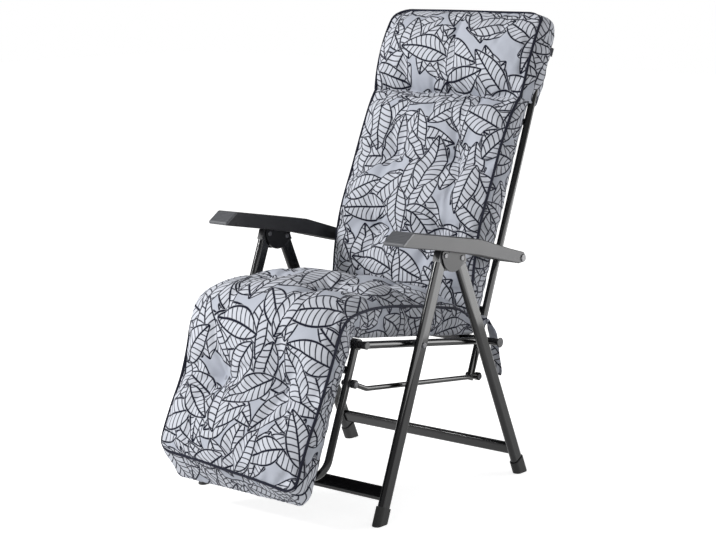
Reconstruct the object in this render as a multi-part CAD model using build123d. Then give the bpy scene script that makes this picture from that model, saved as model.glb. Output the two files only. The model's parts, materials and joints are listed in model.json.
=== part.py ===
from build123d import *
import math
import os

# Reclining garden armchair: steel tube frame, plastic armrests, one long padded cushion in four pads.
# The chair faces -Y, +X is its left side and +Z is up. All lengths are in millimetres.
# Most shapes are drawn in the side plane (Y, Z) and placed at a distance X from the middle.

# Side plane: where the pivots are
lean_angle = 21.1
seat_slope = 8.0
seat_pivot_height_on_leg = 427.5
link_rise = 216.0
seat_rear_reach = 305.0
seat_front_reach = 181.5
bracket_pitch = 66.7
bracket_tilt = 3.2
axle_gap = 14.44
link_drop = 90.5

# Legs: flat oval steel tube in rubber foot caps
leg_spacing = 550.0
seat_side_gap = 10.0
back_side_gap = 3.0
leg_width = 36.0
leg_thickness = 18.0
leg_wall = 1.5
foot_sole = 1.5
foot_cap_wall = 3.0
foot_cap_height = 42.0
foot_cap_round = 4.0
cap_round_share = 0.8
floor_band_share = 0.1
front_bar_height = 67.5
rear_bar_height = 67.5
bar_width = 34.0
bar_thickness = 16.0
knuckle_tail = 22.0
knuckle_neck = 20.0
knuckle_inset = 0.5

# Seat, back and footrest: round steel tube
tube_diameter = 18.0
tube_wall = 1.5
back_tube_tail = 103.0
back_frame_length = 790.0
back_bend_radius = 60.0
back_lower_bar = 74.0
back_upper_bar_share = 0.709
footrest_length = 318.0
footrest_bend_radius = 50.0
footrest_upper_bar = 62.0
rear_tube_overhang = 5.0
front_tube_overhang = 2.0
axle_plug_diameter = 25.0
axle_plug_lip = 3.0
plug_depth = 12.0
plug_lip = 2.5
bush_wall = 1.4
collar_wall = 2.4
collar_length = 20.0

# Links, bolts and rivets
link_diameter = 12.0
link_eye_diameter = 20.0
link_eye_thickness = 10.0
link_kink_reach = 46.0
link_kink_drop = 12.0
link_kink_radius = 30.0
link_end_play = 0.3
bolt_diameter = 8.0
bolt_head_diameter = 14.0
bolt_head_thickness = 3.6
head_round_share = 0.6
nut_thickness = 2.4
nut_diameter = 13.0
spacer_diameter = 15.0
rivet_diameter = 8.0
rivet_head_diameter = 13.0
rivet_head_thickness = 2.5
rivet_round_share = 0.7

# Brackets that join the two leg pairs under the armrests
bracket_side_play = 0.5
bracket_plate = 3.5
bracket_radius = 46.0
bracket_brow = 8.0
bracket_head_height = 22.5
bracket_head_length = 34.0
bracket_web = 5.0
ratchet_pin_diameter = 6.0
ratchet_pin_height = 16.0
ratchet_pin_length = 36.0

# Armrests: hollow plastic shells with a separate ribbed grip at the front
arm_inset = 3.0
arm_width = 60.0
arm_wall = 4.0
arm_length = 490.0
arm_hub_radius = 14.0
arm_bush_wall = 3.0
arm_edge_round = 3.0
arm_shoulder_share = 0.1265
arm_shoulder_top = 23.0
arm_mid_share = 0.3796
arm_mid_top = 42.5
arm_mid_floor = 3.5
arm_waist_share = 0.6327
arm_waist_floor = 10.5
arm_front_share = 0.9367
arm_front_top = 51.0
arm_tip_floor = 17.0
arm_lip = 7.0
arm_corner_round = 10.0
arm_tip_round = 4.0
arm_hollow_start = 34.0
grip_depth = 9.0
grip_rib_pitch = 5.0
grip_rib_depth = 0.8
grip_rib_width = 2.2
grip_rib_margin = 4.0
rail_start_share = 0.5102
rail_end_share = 0.8286
rail_width = 9.0
rail_tooth_pitch = 12.0
rail_tooth_depth = 3.5
rail_tooth_share = 0.8
rail_front_height = 22.8
rail_rear_height = 32.6
hub_cap_diameter = 19.0
hub_cap_thickness = 2.5

# Textile panels stretched between the cross tubes
sling_side_gap = 41.0
sling_thickness = 1.5

# Cushion pads: heights are measured from the middle line of the tubes
pad_half_width = 234.0
pad_waist = 4.0
pad_side_bulge = 5.0
seat_crown = 36.0
seat_brow_crown_share = 0.6
seat_brow_share = 0.062
seat_brow_edge = 76.0
seat_front_share = 0.195
seat_front_edge = 85.0
seat_middle_share = 0.432
seat_middle_edge = 86.0
seat_hollow_share = 0.6475
seat_hollow_edge = 80.0
seat_rear_share = 0.822
seat_rear_edge = 71.0
knee_edge = 62.0
knee_crown = 12.0
crease_edge = 92.0
crease_crown = 8.0
back_crown = 17.0
back_pad_share = 0.767
back_low_share = 0.19
back_low_edge = 80.0
back_lumbar_share = 0.429
back_lumbar_edge = 93.0
back_middle_share = 0.6435
back_middle_edge = 90.0
back_shoulder_share = 0.833
back_shoulder_edge = 82.0
back_neck_share = 0.949
back_neck_edge = 67.0
head_crease_edge = 55.0
head_crease_crown = 6.0
head_half_width = 243.0
head_crown = 12.0
head_rear = 24.0
head_overhang = 50.0
head_cheek_share = 0.209
head_cheek_edge = 68.0
head_face_share = 0.594
head_face_edge = 67.0
head_brow_share = 0.872
head_brow_edge = 60.0
head_end_edge = 40.0
head_end_rear = 12.0
head_end_inset = 12.0
foot_half_width = 222.0
foot_crown = 15.0
foot_overhang = 56.0
foot_upper_share = 0.187
foot_upper_edge = 64.0
foot_waist_share = 0.4145
foot_waist_edge = 61.0
foot_lower_share = 0.642
foot_lower_edge = 79.0
foot_toe_share = 0.882
foot_toe_edge = 80.0
foot_end_edge = 62.0
tuft_spacing = 190.0
tuft_radius = 46.0
tuft_depth = 12.0
tuft_crown_share = 0.8
seat_tuft_shares = (0.247, 0.596)
back_tuft_shares = (0.338, 0.66)
foot_tuft_share = 0.4545
tag_inset = 17.0
tag_width = 14.0
tag_height = 22.0
tag_thickness = 1.2
tie_height = 36.0
tie_width = 24.0
tie_drop = 156.0
tie_lean = 15.0
tie_thickness = 1.5
tie_lobe_thickness = 4.0
tie_round_share = 0.45

# Fits and clearances
bore_play = 0.05
slide_play = 0.3
weld_gap = 0.1
pad_play = 0.3
cut_over = 2.0

lean = math.radians(lean_angle)
slope = math.radians(seat_slope)


def turned(v, angle):
    """A side-plane vector turned clockwise, as seen with Y to the right and Z up."""
    c = math.cos(angle)
    s = math.sin(angle)
    return (v[0] * c + v[1] * s, v[1] * c - v[0] * s)


def moved(p, v, length=1.0):
    return (p[0] + v[0] * length, p[1] + v[1] * length)


def between(p, q):
    return (q[0] - p[0], q[1] - p[1])


def size_of(v):
    return math.hypot(v[0], v[1])


def unit(v):
    return (v[0] / size_of(v), v[1] / size_of(v))


# Directions in the side plane: up the legs and the back, rearwards along the seat
up_leg = (math.sin(lean), math.cos(lean))
back_face = (-math.cos(lean), math.sin(lean))
along_seat = (math.cos(slope), -math.sin(slope))
seat_face = (math.sin(slope), math.cos(slope))
along_arm = (-math.cos(slope), math.sin(slope))

front_foot = (0.0, 0.0)
seat_pivot = moved(front_foot, up_leg, seat_pivot_height_on_leg)
front_bracket_pivot = moved(seat_pivot, up_leg, link_rise)
back_pivot = moved(seat_pivot, along_seat, seat_rear_reach)
footrest_pivot = moved(seat_pivot, along_seat, -seat_front_reach)
arm_pivot = moved(back_pivot, up_leg, link_rise)
rear_link_pivot = moved(back_pivot, up_leg, -link_drop)
front_link_pivot = moved(footrest_pivot, up_leg, -link_drop)
bracket_line = turned(along_seat, math.radians(bracket_tilt))
rear_bracket_pivot = moved(front_bracket_pivot, bracket_line, bracket_pitch)
# Each rear leg passes in front of the rear tube's end plug, with the axle gap between them
axle_offset = leg_width / 2 + axle_plug_diameter / 2 + axle_gap
from_axle = between(back_pivot, rear_bracket_pivot)
up_rear_leg = turned(unit(from_axle), math.asin(axle_offset / size_of(from_axle)))
foot_spread = rear_bracket_pivot[0] - rear_bracket_pivot[1] * up_rear_leg[0] / up_rear_leg[1]
rear_foot = (foot_spread, 0.0)
rear_leg_length = size_of(between(rear_foot, rear_bracket_pivot))
front_leg_length = seat_pivot_height_on_leg + link_rise

tube_radius = tube_diameter / 2
leg_x = leg_spacing / 2
leg_inner_x = leg_x - leg_thickness / 2
leg_outer_x = leg_x + leg_thickness / 2
seat_tube_x = leg_inner_x - seat_side_gap - tube_radius
seat_outer_x = seat_tube_x + tube_radius
seat_inner_x = seat_tube_x - tube_radius
back_tube_x = seat_inner_x - back_side_gap - tube_radius
back_outer_x = back_tube_x + tube_radius
back_inner_x = back_tube_x - tube_radius
rear_tube_reach = leg_outer_x + rear_tube_overhang
front_tube_reach = seat_outer_x + front_tube_overhang
sling_half_width = back_inner_x - sling_side_gap
bracket_gap = leg_thickness + 2 * bracket_side_play
seat_length = seat_rear_reach + seat_front_reach
back_upper_bar = back_frame_length * back_upper_bar_share
hem_radius = tube_radius + weld_gap + sling_thickness
pad_base = hem_radius + pad_play
collar_bore = tube_radius + bore_play + bush_wall + bore_play
collar_radius = collar_bore + collar_wall
bisector = unit((unit(between(back_pivot, footrest_pivot))[0] + up_leg[0],
                 unit(between(back_pivot, footrest_pivot))[1] + up_leg[1]))


# Basic shapes
def side_plane(x):
    return Plane(origin=(x, 0, 0), x_dir=(0, 1, 0), z_dir=(1, 0, 0))


def slab(x0, x1, outline):
    """A side-plane outline, given as a closed wire or a face, carried from x0 to x1."""
    return extrude(side_plane(x0) * outline, amount=x1 - x0)


def rod(p, x0, x1, radius):
    """A cylinder across the chair."""
    return slab(x0, x1, Pos(p[0], p[1]) * Circle(radius))


def ring(p, x0, x1, radius, bore):
    return slab(x0, x1, Pos(p[0], p[1]) * (Circle(radius) - Circle(bore)))


def section_plane(p, direction, x):
    """A plane across a bar that runs along a direction of the side plane; local X is across the chair."""
    return Plane(origin=(x, p[0], p[1]), x_dir=(1, 0, 0), z_dir=(0, direction[0], direction[1]))


def oval_bar(p, direction, x, start, end, width, thickness):
    base = moved(p, direction, start)
    return extrude(section_plane(base, direction, x) * SlotOverall(width, thickness, rotation=90), amount=end - start)


def round_bar(p, direction, x, start, end, radius):
    base = moved(p, direction, start)
    return extrude(section_plane(base, direction, x) * Circle(radius), amount=end - start)


def mirrored(shape):
    return mirror(shape, about=Plane.YZ)


def pair(shape):
    """The same piece on both sides, as two separate solids."""
    return Compound(children=[s for s in shape.solids()] + [s for s in mirrored(shape).solids()])


def local(p, axis, face, along, off):
    return moved(moved(p, axis, along), face, off)


def single(shape):
    """The one solid of a shape, without the list round it."""
    return shape.solids().sort_by(SortBy.VOLUME)[-1]


# Legs
above_floor = Pos(0, 0, foot_spread / 2) * Box(2 * leg_spacing, 4 * foot_spread, foot_spread)


def end_lift(direction):
    """How far up a leg its tube ends, so that the foot keeps its sole under the tube's lower corner."""
    return (foot_sole + leg_width / 2 * abs(direction[0])) / direction[1]


def foot_cap(foot, direction, x):
    cap = oval_bar(foot, direction, x, -foot_cap_height, foot_cap_height,
                   leg_width + 2 * foot_cap_wall, leg_thickness + 2 * foot_cap_wall)
    cap = cap & above_floor
    cap = cap - oval_bar(foot, direction, x, end_lift(direction) - bore_play, foot_cap_height + cut_over,
                         leg_width + 2 * bore_play, leg_thickness + 2 * bore_play)
    floor_edges = cap.edges().filter_by_position(Axis.Z, -cut_over, foot_cap_wall * floor_band_share)
    return fillet(floor_edges, min(foot_cap_round, foot_cap_wall * cap_round_share))


def leg_tube(foot, direction, x, length):
    tube = oval_bar(foot, direction, x, end_lift(direction), length - knuckle_neck, leg_width, leg_thickness)
    tube = tube - oval_bar(foot, direction, x, end_lift(direction) - cut_over, length,
                           leg_width - 2 * leg_wall, leg_thickness - 2 * leg_wall)
    return tube


def knuckle(foot, direction, x, length):
    """The plastic end that carries a leg's pivot: a tail in the tube and a round eye above it."""
    top = moved(foot, direction, length)
    tail = oval_bar(foot, direction, x, length - knuckle_neck - knuckle_tail, length - knuckle_neck,
                    leg_width - 2 * leg_wall - 2 * bore_play, leg_thickness - 2 * leg_wall - 2 * bore_play)
    half = leg_thickness / 2 - knuckle_inset / 2
    radius = leg_width / 2 - knuckle_inset
    eye = rod(top, x - half, x + half, radius)
    flank = (-direction[1], direction[0])
    low = length - knuckle_neck
    corners = [local(foot, direction, flank, low, radius), local(foot, direction, flank, length, radius),
               local(foot, direction, flank, length, -radius), local(foot, direction, flank, low, -radius)]
    neck = slab(x - half, x + half, make_face(Polyline(*corners, close=True)))
    return (tail + eye + neck) - rod(top, x - leg_thickness, x + leg_thickness, rivet_diameter / 2 + bore_play)


nodes = {}

front_leg = leg_tube(front_foot, up_leg, leg_x, front_leg_length)
front_leg -= rod(seat_pivot, leg_inner_x - cut_over, leg_outer_x + cut_over, bolt_diameter / 2 + bore_play)
rear_leg = leg_tube(rear_foot, up_rear_leg, leg_x, rear_leg_length)
nodes["front_leg_left"] = front_leg
nodes["front_leg_right"] = mirrored(front_leg)
nodes["rear_leg_left"] = rear_leg
nodes["rear_leg_right"] = mirrored(rear_leg)
nodes["front_foot_caps"] = pair(foot_cap(front_foot, up_leg, leg_x))
nodes["rear_foot_caps"] = pair(foot_cap(rear_foot, up_rear_leg, leg_x))
nodes["front_leg_knuckles"] = pair(knuckle(front_foot, up_leg, leg_x, front_leg_length))
nodes["rear_leg_knuckles"] = pair(knuckle(rear_foot, up_rear_leg, leg_x, rear_leg_length))


def cross_bar(foot, direction, height):
    """A flat oval tube between the flat inner faces of two legs."""
    centre = moved(foot, direction, height / direction[1])
    plane = Plane(origin=(-leg_inner_x, centre[0], centre[1]), x_dir=(0, direction[0], direction[1]),
                  z_dir=(1, 0, 0))
    outline = SlotOverall(bar_width, bar_thickness) - SlotOverall(bar_width - 2 * leg_wall,
                                                                  bar_thickness - 2 * leg_wall)
    return extrude(plane * outline, amount=2 * leg_inner_x)


nodes["front_cross_bar"] = cross_bar(front_foot, up_leg, front_bar_height)
nodes["rear_cross_bar"] = cross_bar(rear_foot, up_rear_leg, rear_bar_height)

# Seat pivots: a bolt through each front leg and seat tube, with a spacer between them


def bolt(p, inner_x, outer_x):
    """A bolt across the chair: shank, low round head outside, thin lock nut inside."""
    shank = rod(p, inner_x - nut_thickness, outer_x, bolt_diameter / 2)
    head = rod(p, outer_x, outer_x + bolt_head_thickness, bolt_head_diameter / 2)
    crown_edge = head.edges().sort_by(Axis.X)[-1]
    head = fillet(crown_edge, bolt_head_thickness * head_round_share)
    nut = rod(p, inner_x - nut_thickness, inner_x, nut_diameter / 2)
    return shank + head + nut


nodes["seat_pivot_bolts"] = pair(bolt(seat_pivot, seat_inner_x - bore_play, leg_outer_x))
nodes["seat_pivot_spacers"] = pair(ring(seat_pivot, seat_outer_x + slide_play, leg_inner_x,
                                        spacer_diameter / 2, bolt_diameter / 2 + bore_play))

# Brackets: two plates with a web and a head, and the ratchet pin in the head
bracket_middle = moved(front_bracket_pivot, bracket_line, bracket_pitch / 2)


def in_arm(along, off):
    """A point of the side plane, by its distance from the armrest pivot towards the front and upwards."""
    return local(arm_pivot, along_arm, seat_face, along, off)


def arm_coordinates(p):
    v = between(arm_pivot, p)
    return (v[0] * along_arm[0] + v[1] * along_arm[1], v[0] * seat_face[0] + v[1] * seat_face[1])


bracket_reach, bracket_off = arm_coordinates(bracket_middle)


def bracket():
    inner = bracket_gap / 2
    outer = inner + bracket_plate
    brow = in_arm(bracket_reach, bracket_brow)
    disc = Pos(*brow) * Circle(bracket_radius)
    keep = [in_arm(bracket_reach - bracket_radius, bracket_brow), in_arm(bracket_reach + bracket_radius, bracket_brow),
            in_arm(bracket_reach + bracket_radius, bracket_brow - bracket_radius),
            in_arm(bracket_reach - bracket_radius, bracket_brow - bracket_radius)]
    half_disc = disc & make_face(Polyline(*keep, close=True))
    front_half = bracket_head_length / 2
    head = [in_arm(bracket_reach - front_half, bracket_brow), in_arm(bracket_reach - front_half, bracket_head_height),
            in_arm(bracket_reach + front_half, bracket_head_height), in_arm(bracket_reach + front_half, bracket_brow)]
    shape = half_disc + make_face(Polyline(*head, close=True))
    for p in (front_bracket_pivot, rear_bracket_pivot):
        shape = shape + (Pos(*p) * Circle(rivet_head_diameter))
    body = slab(leg_x - outer, leg_x + outer, shape)
    low_web = bracket_head_height - bracket_web
    room = [in_arm(bracket_reach - bracket_radius * 2, -bracket_radius * 2),
            in_arm(bracket_reach - bracket_radius * 2, low_web), in_arm(bracket_reach + bracket_radius * 2, low_web),
            in_arm(bracket_reach + bracket_radius * 2, -bracket_radius * 2)]
    body = body - slab(leg_x - inner, leg_x + inner, make_face(Polyline(*room, close=True)))
    for p in (front_bracket_pivot, rear_bracket_pivot):
        body = body - rod(p, leg_x - outer - cut_over, leg_x + outer + cut_over, rivet_diameter / 2 + bore_play)
    return body


def rivet(p):
    outer = bracket_gap / 2 + bracket_plate
    shank = rod(p, leg_x - outer, leg_x + outer, rivet_diameter / 2)
    for side in (-1, 1):
        x0 = leg_x + side * outer
        head = rod(p, min(x0, x0 + side * rivet_head_thickness), max(x0, x0 + side * rivet_head_thickness),
                   rivet_head_diameter / 2)
        edge = head.edges().filter_by(GeomType.CIRCLE).sort_by(Axis.X)[-1 if side > 0 else 0]
        shank = shank + fillet(edge, rivet_head_thickness * rivet_round_share)
    return shank


pin_point = in_arm(bracket_reach, ratchet_pin_height)
pin_hole = rod(pin_point, leg_x - arm_width, leg_x + arm_width, ratchet_pin_diameter / 2 + bore_play)
bracket_left = bracket() - pin_hole
nodes["bracket_left"] = bracket_left
nodes["bracket_right"] = mirrored(bracket_left)
nodes["front_bracket_rivets"] = pair(rivet(front_bracket_pivot))
nodes["rear_bracket_rivets"] = pair(rivet(rear_bracket_pivot))
nodes["ratchet_pins"] = pair(rod(pin_point, leg_x - ratchet_pin_length / 2, leg_x + ratchet_pin_length / 2,
                                 ratchet_pin_diameter / 2))

# Seat frame
seat_tube = round_bar(footrest_pivot, along_seat, seat_tube_x, 0, seat_length, tube_radius)
seat_tube -= round_bar(footrest_pivot, along_seat, seat_tube_x, -cut_over, seat_length + cut_over,
                       tube_radius - tube_wall)
for p in (footrest_pivot, back_pivot):
    seat_tube -= rod(p, seat_inner_x - cut_over, seat_outer_x + cut_over, tube_radius + weld_gap)
seat_tube -= rod(seat_pivot, seat_inner_x - cut_over, seat_outer_x + cut_over, bolt_diameter / 2 + bore_play)
nodes["seat_tube_left"] = single(seat_tube)
nodes["seat_tube_right"] = mirrored(nodes["seat_tube_left"])
nodes["seat_front_tube"] = ring(footrest_pivot, -front_tube_reach, front_tube_reach, tube_radius,
                                tube_radius - tube_wall)
nodes["seat_rear_tube"] = ring(back_pivot, -rear_tube_reach, rear_tube_reach, tube_radius, tube_radius - tube_wall)


def end_plug(p, end_x, flange_radius, lip):
    """A plastic plug in a cross tube's end, with a flange over the rim."""
    stem = rod(p, end_x - plug_depth, end_x, tube_radius - tube_wall - bore_play)
    flange = rod(p, end_x, end_x + lip, flange_radius)
    edge = flange.edges().filter_by(GeomType.CIRCLE).sort_by(Axis.X)[-1]
    return stem + fillet(edge, lip * head_round_share)


nodes["seat_front_plugs"] = pair(end_plug(footrest_pivot, front_tube_reach, tube_radius, plug_lip))
nodes["seat_rear_plugs"] = pair(end_plug(back_pivot, rear_tube_reach, axle_plug_diameter / 2, axle_plug_lip))


# Back frame and footrest frame: bent tubes with pivot collars on their legs
def bent_frame(pivot, tail, reach, bend_radius):
    """A U of tube in the leaning plane through a pivot, from -tail to reach, with a collar at the pivot."""
    plane = Plane(origin=(0, pivot[0], pivot[1]), x_dir=(1, 0, 0), z_dir=(0, -up_leg[1], up_leg[0]))
    turn = 1 if reach > 0 else -1
    ends = [(-back_tube_x, -turn * tail), (-back_tube_x, reach), (back_tube_x, reach), (back_tube_x, -turn * tail)]
    path = plane * FilletPolyline(*ends, radius=bend_radius)
    start = Plane(origin=path @ 0, z_dir=path % 0)
    outer = sweep(start * Circle(tube_radius), path=path)
    inner = sweep(start * Circle(tube_radius - tube_wall), path=path)
    frame = outer
    half = collar_length / 2
    for side in (-1, 1):
        frame += rod(pivot, side * back_tube_x - half, side * back_tube_x + half, collar_radius)
    frame -= inner
    for side in (-1, 1):
        frame -= rod(pivot, side * back_tube_x - half - cut_over, side * back_tube_x + half + cut_over, collar_bore)
        frame += (ring(pivot, side * back_tube_x - half, side * back_tube_x + half, collar_radius, collar_bore))
    return frame


def bolt_hole(p):
    return rod(p, -seat_outer_x, seat_outer_x, bolt_diameter / 2 + bore_play)


back_frame = bent_frame(back_pivot, back_tube_tail, back_frame_length, back_bend_radius)
back_frame = back_frame - bolt_hole(rear_link_pivot) - bolt_hole(arm_pivot)
nodes["back_frame"] = single(back_frame)
footrest_frame = bent_frame(footrest_pivot, tube_radius, -footrest_length, footrest_bend_radius)
footrest_frame = footrest_frame - bolt_hole(front_link_pivot)
nodes["footrest_frame"] = single(footrest_frame)


def frame_bar(pivot, along):
    """A cross tube between the two legs of a bent frame, cut to fit round them."""
    centre = moved(pivot, up_leg, along)
    bar = ring(centre, -back_tube_x, back_tube_x, tube_radius, tube_radius - tube_wall)
    for side in (-1, 1):
        bar -= round_bar(centre, up_leg, side * back_tube_x, -tube_diameter, tube_diameter, tube_radius + weld_gap)
    return single(bar)


nodes["back_lower_bar"] = frame_bar(back_pivot, back_lower_bar)
nodes["back_upper_bar"] = frame_bar(back_pivot, back_upper_bar)
nodes["footrest_upper_bar"] = frame_bar(footrest_pivot, -footrest_upper_bar)


def bushes(p):
    half = collar_length / 2
    return pair(ring(p, back_tube_x - half, back_tube_x + half, tube_radius + bore_play + bush_wall,
                     tube_radius + bore_play))


nodes["back_pivot_bushes"] = bushes(back_pivot)
nodes["footrest_pivot_bushes"] = bushes(footrest_pivot)

# Links below the seat, which swing the footrest with the back
link_inner_x = seat_tube_x - link_eye_thickness / 2
link_outer_x = seat_tube_x + link_eye_thickness / 2


def link_bolt(p):
    return bolt(p, back_inner_x, link_outer_x + link_end_play)


def link_washer(p):
    return ring(p, back_outer_x + weld_gap, link_inner_x - link_end_play, spacer_diameter / 2,
                bolt_diameter / 2 + bore_play)


nodes["rear_link_bolts"] = pair(link_bolt(rear_link_pivot))
nodes["front_link_bolts"] = pair(link_bolt(front_link_pivot))
nodes["rear_link_washers"] = pair(link_washer(rear_link_pivot))
nodes["front_link_washers"] = pair(link_washer(front_link_pivot))


def link_rod():
    kink = local(front_link_pivot, along_seat, seat_face, link_kink_reach, -link_kink_drop)
    points = [(seat_tube_x, *rear_link_pivot), (seat_tube_x, *kink), (seat_tube_x, *front_link_pivot)]
    path = FilletPolyline(*points, radius=link_kink_radius)
    start = Plane(origin=path @ 0, z_dir=path % 0)
    body = sweep(start * Circle(link_diameter / 2), path=path)
    for p in (rear_link_pivot, front_link_pivot):
        body += rod(p, link_inner_x, link_outer_x, link_eye_diameter / 2)
    body -= rod(rear_link_pivot, link_inner_x - cut_over, link_outer_x + cut_over, bolt_diameter / 2 + bore_play)
    body -= rod(front_link_pivot, link_inner_x - cut_over, link_outer_x + cut_over, bolt_diameter / 2 + slide_play)
    side_room = link_diameter
    for side in (-1, 1):
        for p in (rear_link_pivot, front_link_pivot):
            x = seat_tube_x + side * (link_eye_thickness / 2 + side_room / 2)
            body -= rod(p, x - side_room / 2, x + side_room / 2, link_eye_diameter / 2 + cut_over)
    return single(body)


link_left = link_rod()
nodes["link_left"] = link_left
nodes["link_right"] = mirrored(link_left)

# Armrests
arm_middle_x = leg_x - arm_inset
arm_inner_x = arm_middle_x - arm_width / 2
arm_outer_x = arm_middle_x + arm_width / 2
arm_shoulder_reach = arm_length * arm_shoulder_share
arm_mid_reach = arm_length * arm_mid_share
arm_waist_reach = arm_length * arm_waist_share
arm_front_reach = arm_length * arm_front_share
arm_tip_top = arm_tip_floor + arm_lip
rail_start = arm_length * rail_start_share
rail_end = arm_length * rail_end_share


def arm_outline():
    """The armrest's side outline, from the hub over the top to the tip and back along the floor edge."""
    points = [in_arm(-arm_hub_radius + arm_corner_round / 2, arm_hub_radius),
              in_arm(arm_shoulder_reach, arm_shoulder_top),
              in_arm(arm_mid_reach, arm_mid_top), in_arm(arm_front_reach, arm_front_top),
              in_arm(arm_length, arm_tip_top), in_arm(arm_length, arm_tip_floor),
              in_arm(arm_waist_reach, arm_waist_floor), in_arm(arm_mid_reach, arm_mid_floor),
              in_arm(arm_hub_radius, -arm_hub_radius),
              in_arm(-arm_hub_radius + arm_corner_round / 2, -arm_hub_radius + arm_corner_round / 2)]
    wide = 4 * arm_corner_round
    radii = [arm_corner_round, wide, wide, arm_corner_round, arm_tip_round, arm_tip_round, wide,
             wide, arm_corner_round / 2, arm_corner_round / 2]
    return make_face(FilletPolyline(*points, radius=radii, close=True))


def arm_solid():
    body = slab(arm_inner_x, arm_outer_x, arm_outline())
    ends = [e for e in body.edges() if abs(abs(e.center().X - arm_middle_x) - arm_width / 2) < bore_play]
    top = [e for e in ends if arm_coordinates((e.center().Y, e.center().Z))[1] > arm_hub_radius]
    return fillet(top, arm_edge_round)


def nose_reach(set_back, height):
    """How far along an armrest its slanted front face lies at a height, set back towards the pivot."""
    lean = (arm_length - arm_front_reach) / (arm_front_top - arm_tip_top)
    return arm_length - set_back - (height - arm_tip_top) * lean


def arm_cut(end, set_back):
    """A block from one end of an armrest to a plane along its front face, set back towards the pivot."""
    deep = arm_width * 2
    corners = [in_arm(end, -deep), in_arm(nose_reach(set_back, -deep), -deep),
               in_arm(nose_reach(set_back, deep), deep), in_arm(end, deep)]
    return slab(arm_inner_x - cut_over, arm_outer_x + cut_over, make_face(Polyline(*corners, close=True)))


arm_whole = arm_solid()
arm_body = arm_whole & arm_cut(-arm_width, grip_depth)
hollow_back = grip_depth + 2 * arm_wall
hollow_front = nose_reach(hollow_back, arm_front_top - arm_wall)
hollow = [in_arm(arm_hollow_start, -arm_width), in_arm(arm_hollow_start, arm_hub_radius - arm_wall),
          in_arm(arm_shoulder_reach, arm_shoulder_top - arm_wall), in_arm(arm_mid_reach, arm_mid_top - arm_wall),
          in_arm(hollow_front, arm_front_top - arm_wall),
          in_arm(nose_reach(hollow_back, -arm_width), -arm_width)]
arm_body -= slab(arm_inner_x + arm_wall, arm_outer_x - arm_wall, make_face(Polyline(*hollow, close=True)))
arm_bush_radius = bolt_diameter / 2 + bore_play + arm_bush_wall
arm_body -= rod(arm_pivot, arm_inner_x - cut_over, arm_outer_x + cut_over, arm_bush_radius + bore_play)


def arm_ceiling(reach):
    """The height of the hollow's ceiling at a distance from the armrest pivot, in the front stretch."""
    rise = (arm_front_top - arm_mid_top) / (hollow_front - arm_mid_reach)
    return arm_mid_top - arm_wall + (reach - arm_mid_reach) * rise


def rail(start, end):
    """The toothed rail inside an armrest, from its ceiling down to the line of the tooth tips."""
    teeth = int((end - start) / rail_tooth_pitch)
    fall = (rail_rear_height - rail_front_height) / (end - start)
    points = [in_arm(end, arm_ceiling(end) - weld_gap), in_arm(start, arm_ceiling(start) - weld_gap)]
    for i in range(teeth):
        u = start + i * rail_tooth_pitch
        tip = rail_front_height + (u - start) * fall
        points.append(in_arm(u, tip))
        points.append(in_arm(u + rail_tooth_pitch / 2, tip + rail_tooth_pitch / 2 * fall))
        root = rail_tooth_pitch * rail_tooth_share
        points.append(in_arm(u + root, tip + rail_tooth_depth + root * fall))
    points.append(in_arm(end, rail_front_height + (end - start) * fall))
    return slab(leg_x - rail_width / 2, leg_x + rail_width / 2, make_face(Polyline(*points, close=True)))


def on_nose(down, out):
    """A point by its way down the front face from the top corner and its height off the face."""
    along = unit((arm_length - arm_front_reach, arm_tip_top - arm_front_top))
    return in_arm(arm_front_reach + along[0] * down - along[1] * out,
                  arm_front_top + along[1] * down + along[0] * out)


arm_grip = arm_whole & arm_cut(arm_length + 4 * arm_width, grip_depth)
nose_length = math.hypot(arm_length - arm_front_reach, arm_front_top - arm_tip_top)
for i in range(int((nose_length - grip_rib_margin) / grip_rib_pitch)):
    down = grip_rib_margin + grip_rib_pitch * i
    groove = [on_nose(down, -grip_rib_depth), on_nose(down, cut_over),
              on_nose(down + grip_rib_width, cut_over), on_nose(down + grip_rib_width, -grip_rib_depth)]
    arm_grip -= slab(arm_inner_x + grip_rib_margin, arm_outer_x - grip_rib_margin,
                     make_face(Polyline(*groove, close=True)))

arm_rail = rail(rail_start, rail_end)
nodes["armrest_left"] = single(arm_body)
nodes["armrest_right"] = mirrored(nodes["armrest_left"])
nodes["armrest_grip_left"] = single(arm_grip)
nodes["armrest_grip_right"] = mirrored(nodes["armrest_grip_left"])
nodes["armrest_rail_left"] = arm_rail
nodes["armrest_rail_right"] = mirrored(arm_rail)

arm_bolt_inner = back_inner_x
arm_bolt = rod(arm_pivot, arm_bolt_inner - nut_thickness, arm_outer_x, bolt_diameter / 2)
arm_bolt += rod(arm_pivot, arm_bolt_inner - nut_thickness, arm_bolt_inner, nut_diameter / 2)
arm_bolt_head = rod(arm_pivot, arm_outer_x + link_end_play, arm_outer_x + link_end_play + hub_cap_thickness,
                    hub_cap_diameter / 2)
arm_bolt_head = fillet(arm_bolt_head.edges().filter_by(GeomType.CIRCLE).sort_by(Axis.X)[-1],
                       hub_cap_thickness * head_round_share)
arm_bolt += rod(arm_pivot, arm_outer_x, arm_outer_x + link_end_play, bolt_diameter / 2) + arm_bolt_head
nodes["arm_pivot_bolts"] = pair(arm_bolt)
nodes["arm_pivot_spacers"] = pair(ring(arm_pivot, back_outer_x + weld_gap, arm_inner_x - link_end_play,
                                       spacer_diameter / 2, bolt_diameter / 2 + bore_play))
nodes["arm_pivot_bushes"] = pair(ring(arm_pivot, arm_inner_x, arm_outer_x, arm_bush_radius,
                                      bolt_diameter / 2 + bore_play))


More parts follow.
